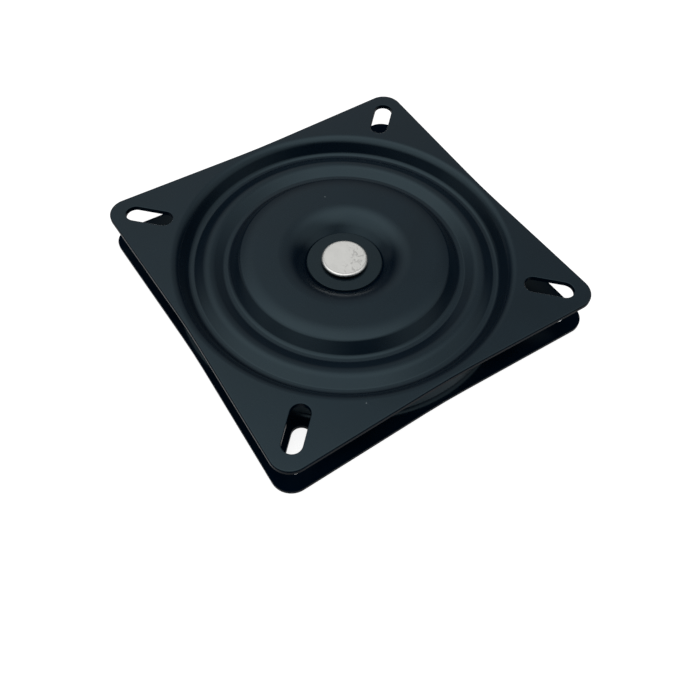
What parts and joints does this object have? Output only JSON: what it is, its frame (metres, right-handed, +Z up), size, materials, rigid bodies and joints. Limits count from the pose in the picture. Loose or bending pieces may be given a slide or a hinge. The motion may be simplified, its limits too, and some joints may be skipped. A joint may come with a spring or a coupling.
{
  "type": "swivel seat base",
  "caption": "Flat swivel bearing for a seat: two square pressed steel plates with slotted corners that turn on a ring of caged balls around a centre rivet.",
  "frame": {"origin": "centre of the lower plate's corner face, on the swivel axis", "axes": "+Z up along the swivel axis; +X and +Y through two corners of the plates, along their fixing slots"},
  "size_m": [0.2454, 0.2454, 0.023],
  "materials": {
    "black_coated_steel": "satin black powder coat",
    "black_washer_steel": "satin black",
    "zinc_plated_steel": "bright zinc plate",
    "bearing_steel": "ground and polished",
    "nylon": "natural moulded nylon"
  },
  "bodies": {
    "base": {"lower_plate": "black_coated_steel", "lower_washer": "black_washer_steel", "upper_washer": "black_washer_steel", "centre_rivet": "zinc_plated_steel"},
    "top": {"upper_plate": "black_coated_steel"},
    "ball_ring": {"ball_cage": "nylon", "ball_01": "bearing_steel", "ball_02": "bearing_steel", "ball_03": "bearing_steel", "ball_04": "bearing_steel", "ball_05": "bearing_steel", "ball_06": "bearing_steel", "ball_07": "bearing_steel", "ball_08": "bearing_steel", "ball_09": "bearing_steel", "ball_10": "bearing_steel", "ball_11": "bearing_steel", "ball_12": "bearing_steel", "ball_13": "bearing_steel", "ball_14": "bearing_steel", "ball_15": "bearing_steel", "ball_16": "bearing_steel", "ball_17": "bearing_steel", "ball_18": "bearing_steel", "ball_19": "bearing_steel", "ball_20": "bearing_steel", "ball_21": "bearing_steel", "ball_22": "bearing_steel", "ball_23": "bearing_steel", "ball_24": "bearing_steel"}
  },
  "joints": [
    {"name": "swivel", "type": "hinge", "parent": "base", "child": "top", "pos_m": [0, 0, 0.0115], "axis": [0, 0, 1], "continuous": true},
    {"name": "ball_ring_turn", "type": "hinge", "parent": "base", "child": "ball_ring", "pos_m": [0, 0, 0.0115], "axis": [0, 0, 1], "continuous": true}
  ],
  "couplings": [
    {"joint": "ball_ring_turn", "follows": "swivel", "ratio": 0.5}
  ]
}
